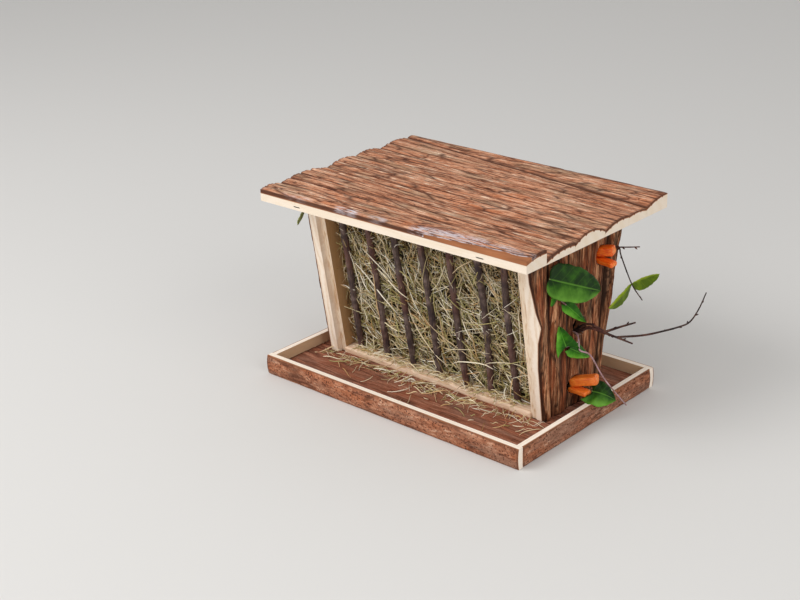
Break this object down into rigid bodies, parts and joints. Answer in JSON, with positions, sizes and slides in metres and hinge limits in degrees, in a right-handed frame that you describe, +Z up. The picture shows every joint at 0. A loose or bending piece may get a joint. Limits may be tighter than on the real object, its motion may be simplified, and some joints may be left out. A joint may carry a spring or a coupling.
{
  "type": "hay feeder box",
  "caption": "Small-animal hay feeder: shallow wooden tray, tapered box with twig racks at front and back, bark-slab sides with round treat holes, and a loose lift-off lid of bark slabs.",
  "frame": {"origin": "middle of the tray's underside, on the surface that the feeder stands on", "axes": "+X runs along the front of the tray to the right, +Y from the front to the back, +Z up"},
  "size_m": [0.4596, 0.292, 0.2463],
  "materials": {
    "sawn_wood": "sawn, untreated",
    "bark_board": "red-brown bark outside, sawn pale wood at the cut faces",
    "rack_twig": "smooth dark bark",
    "treat_twig": "dark bark",
    "steel": "dull",
    "hay": "dry loose stalks",
    "carrot": "freshly cut, moist",
    "leaf": "waxy leaf"
  },
  "bodies": {
    "box": {"back_bottom_rail": "sawn_wood", "back_left_post": "sawn_wood", "back_right_post": "sawn_wood", "back_top_rail": "sawn_wood", "back_twig_1": "rack_twig", "back_twig_2": "rack_twig", "back_twig_3": "rack_twig", "back_twig_4": "rack_twig", "back_twig_5": "rack_twig", "back_twig_6": "rack_twig", "back_twig_7": "rack_twig", "bare_twig": "treat_twig", "box_nails": "steel", "broad_leaves": "leaf", "budding_twig": "treat_twig", "carrot_sticks": "carrot", "floor_board_1": "bark_board", "floor_board_2": "bark_board", "floor_board_3": "bark_board", "front_bottom_rail": "sawn_wood", "front_left_post": "sawn_wood", "front_right_post": "sawn_wood", "front_top_rail": "sawn_wood", "front_twig_1": "rack_twig", "front_twig_2": "rack_twig", "front_twig_3": "rack_twig", "front_twig_4": "rack_twig", "front_twig_5": "rack_twig", "front_twig_6": "rack_twig", "front_twig_7": "rack_twig", "hay_fill": "hay", "leafy_sprig": "leaf", "left_lower_batten": "sawn_wood", "left_side_slab_1": "bark_board", "left_side_slab_2": "bark_board", "left_side_slab_3": "bark_board", "left_side_slab_4": "bark_board", "left_upper_batten": "sawn_wood", "right_lower_batten": "sawn_wood", "right_side_slab_1": "bark_board", "right_side_slab_2": "bark_board", "right_side_slab_3": "bark_board", "right_side_slab_4": "bark_board", "right_upper_batten": "sawn_wood", "tray_back_rail": "bark_board", "tray_front_rail": "bark_board", "tray_left_rail": "bark_board", "tray_nails": "steel", "tray_right_rail": "bark_board"},
    "lid": {"lid_front_board": "bark_board", "lid_left_batten": "sawn_wood", "lid_nails": "steel", "lid_right_batten": "sawn_wood", "lid_slab_1": "bark_board", "lid_slab_2": "bark_board", "lid_slab_3": "bark_board", "lid_slab_4": "bark_board", "lid_slab_5": "bark_board", "lid_staples": "steel"}
  },
  "joints": [
    {"name": "lid_lift", "type": "slide", "parent": "box", "child": "lid", "axis": [0, 0, 1], "range_m": [0, 0.12]}
  ]
}
